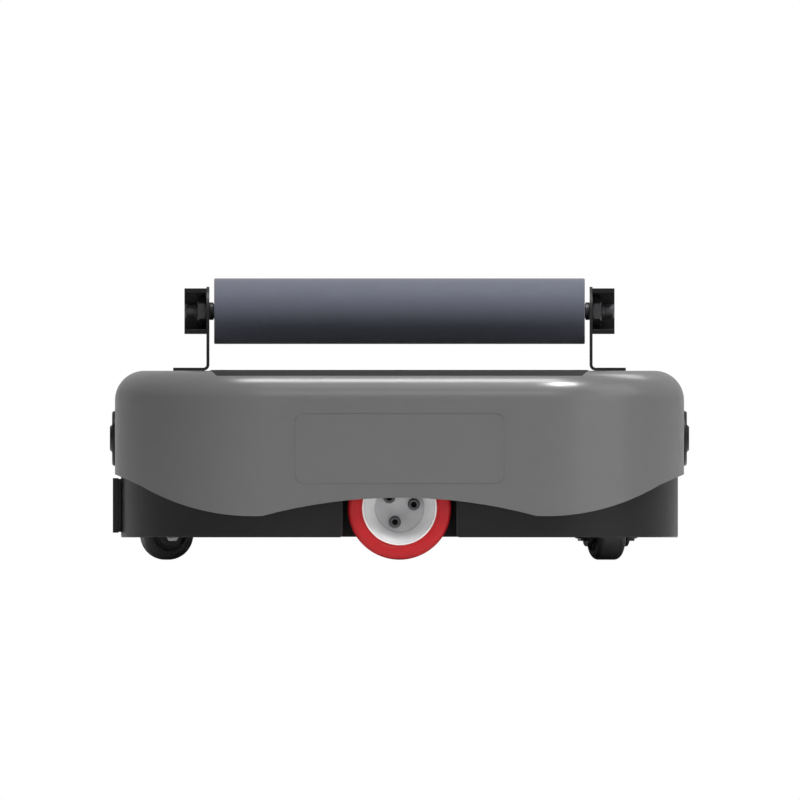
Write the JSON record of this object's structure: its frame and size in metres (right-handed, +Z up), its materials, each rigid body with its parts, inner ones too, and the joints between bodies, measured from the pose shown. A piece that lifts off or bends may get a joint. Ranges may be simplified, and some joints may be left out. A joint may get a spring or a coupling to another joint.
{
  "type": "robotic floor cleaner",
  "caption": "Low rounded floor-cleaning robot with side drive wheels, end casters, a lowering brush deck, a slide-out dust drawer and a free-turning roller on its roof.",
  "frame": {"origin": "on the floor, under the middle of the machine (centre of its bounding box)", "axes": "+X towards the front of the machine, +Y towards its left side, +Z up"},
  "size_m": [0.57, 0.42, 0.2769],
  "materials": {
    "cover": "glossy moulded",
    "lid": "satin moulded",
    "black_panel": "glossy",
    "black_plastic": "fine moulded texture",
    "dark_liner": "matt moulded",
    "steel_plate": "powder coated",
    "bracket_black": "black powder coat",
    "zinc_steel": "zinc plated",
    "dark_steel": "blackened",
    "roller_rubber": "satin",
    "tyre_red": "satin polyurethane",
    "hub_grey": "satin",
    "caster_black": "moulded",
    "caster_tread": "satin",
    "lens": "polished",
    "copper": "polished strip",
    "aluminium": "satin",
    "motor": "satin",
    "tray": "moulded",
    "bin": "smoked",
    "bristle": "nylon tufts",
    "battery": "shrink wrapped case",
    "board": "lacquered"
  },
  "bodies": {
    "chassis": {"cover_shell": "cover", "top_lid": "lid", "top_panel": "black_panel", "base_skirt": "black_plastic", "base_pan": "black_plastic", "chassis_plate": "steel_plate", "right_wheel_well": "dark_liner", "left_wheel_well": "dark_liner", "front_sensor_bezel": "black_plastic", "rear_sensor_bezel": "black_plastic", "front_sensor_lens": "lens", "rear_sensor_lens": "lens", "dock_block": "black_plastic", "dock_contacts": "copper", "front_roller_bracket": "bracket_black", "rear_roller_bracket": "bracket_black", "bracket_screws": "dark_steel", "roller_axle": "dark_steel", "axle_nuts": "zinc_steel", "front_axle_guard": "black_plastic", "rear_axle_guard": "black_plastic", "inner_tray": "tray", "battery_pack": "battery", "dust_chute": "tray", "suction_fan": "dark_liner", "controller_board": "board", "power_switch": "dark_liner", "lift_actuator": "motor", "lift_guide_rods": "zinc_steel", "right_drive_motor": "motor", "left_drive_motor": "motor", "front_caster_plate": "zinc_steel", "rear_caster_plate": "zinc_steel"},
    "right_drive_wheel": {"right_drive_tyre": "tyre_red", "right_drive_hub": "hub_grey", "right_hub_bolts": "dark_steel", "right_drive_shaft": "zinc_steel"},
    "left_drive_wheel": {"left_drive_tyre": "tyre_red", "left_drive_hub": "hub_grey", "left_hub_bolts": "dark_steel", "left_drive_shaft": "zinc_steel"},
    "front_caster_yoke": {"front_caster_fork": "caster_black", "front_caster_axle": "zinc_steel"},
    "front_caster_roller": {"front_caster_wheel": "caster_black", "front_caster_tread": "caster_tread"},
    "rear_caster_yoke": {"rear_caster_fork": "caster_black", "rear_caster_axle": "zinc_steel"},
    "rear_caster_roller": {"rear_caster_wheel": "caster_black", "rear_caster_tread": "caster_tread"},
    "top_roller": {"roller_sleeve": "roller_rubber", "roller_core": "aluminium"},
    "brush_deck": {"deck_housing": "black_plastic", "brush_motor": "motor", "lift_rod": "zinc_steel"},
    "brush": {"brush_core": "aluminium", "brush_bristles": "bristle"},
    "dust_drawer": {"drawer_front": "cover", "dust_bin": "bin"},
    "battery_door": {"battery_door": "cover"},
    "power_button": {"power_button": "black_plastic"}
  },
  "joints": [
    {"name": "right_wheel_spin", "type": "hinge", "parent": "chassis", "child": "right_drive_wheel", "pos_m": [0, -0.184, 0.051], "axis": [0, 1, 0], "continuous": true},
    {"name": "left_wheel_spin", "type": "hinge", "parent": "chassis", "child": "left_drive_wheel", "pos_m": [0, 0.184, 0.051], "axis": [0, 1, 0], "continuous": true},
    {"name": "front_caster_swivel", "type": "hinge", "parent": "chassis", "child": "front_caster_yoke", "pos_m": [0.2095, 0, 0.06], "axis": [0, 0, 1], "continuous": true},
    {"name": "front_caster_roll", "type": "hinge", "parent": "front_caster_yoke", "child": "front_caster_roller", "pos_m": [0.20332, 0.01902, 0.025], "axis": [0.9511, 0.309, 0], "continuous": true},
    {"name": "rear_caster_swivel", "type": "hinge", "parent": "chassis", "child": "rear_caster_yoke", "pos_m": [-0.2095, 0, 0.06], "axis": [0, 0, 1], "continuous": true},
    {"name": "rear_caster_roll", "type": "hinge", "parent": "rear_caster_yoke", "child": "rear_caster_roller", "pos_m": [-0.22906, -0.00416, 0.025], "axis": [-0.2079, 0.9781, 0], "continuous": true},
    {"name": "top_roller_spin", "type": "hinge", "parent": "chassis", "child": "top_roller", "pos_m": [0, 0, 0.2446], "axis": [1, 0, 0], "continuous": true},
    {"name": "brush_deck_lift", "type": "slide", "parent": "chassis", "child": "brush_deck", "axis": [0, 0, -1], "range_m": [0, 0.024]},
    {"name": "brush_spin", "type": "hinge", "parent": "brush_deck", "child": "brush", "pos_m": [0.108, 0, 0.0446], "axis": [0, 1, 0], "continuous": true},
    {"name": "dust_drawer_slide", "type": "slide", "parent": "chassis", "child": "dust_drawer", "axis": [0, -1, 0], "range_m": [0, 0.2]},
    {"name": "battery_door_hinge", "type": "hinge", "parent": "chassis", "child": "battery_door", "pos_m": [0, 0.20832, 0.14192], "axis": [1, 0, 0], "range_deg": [0, 90]},
    {"name": "power_button_press", "type": "slide", "parent": "chassis", "child": "power_button", "axis": [0, -1, 0], "range_m": [0, 0.002], "stiffness_N_per_m": 600, "springref_m": -0.001}
  ]
}
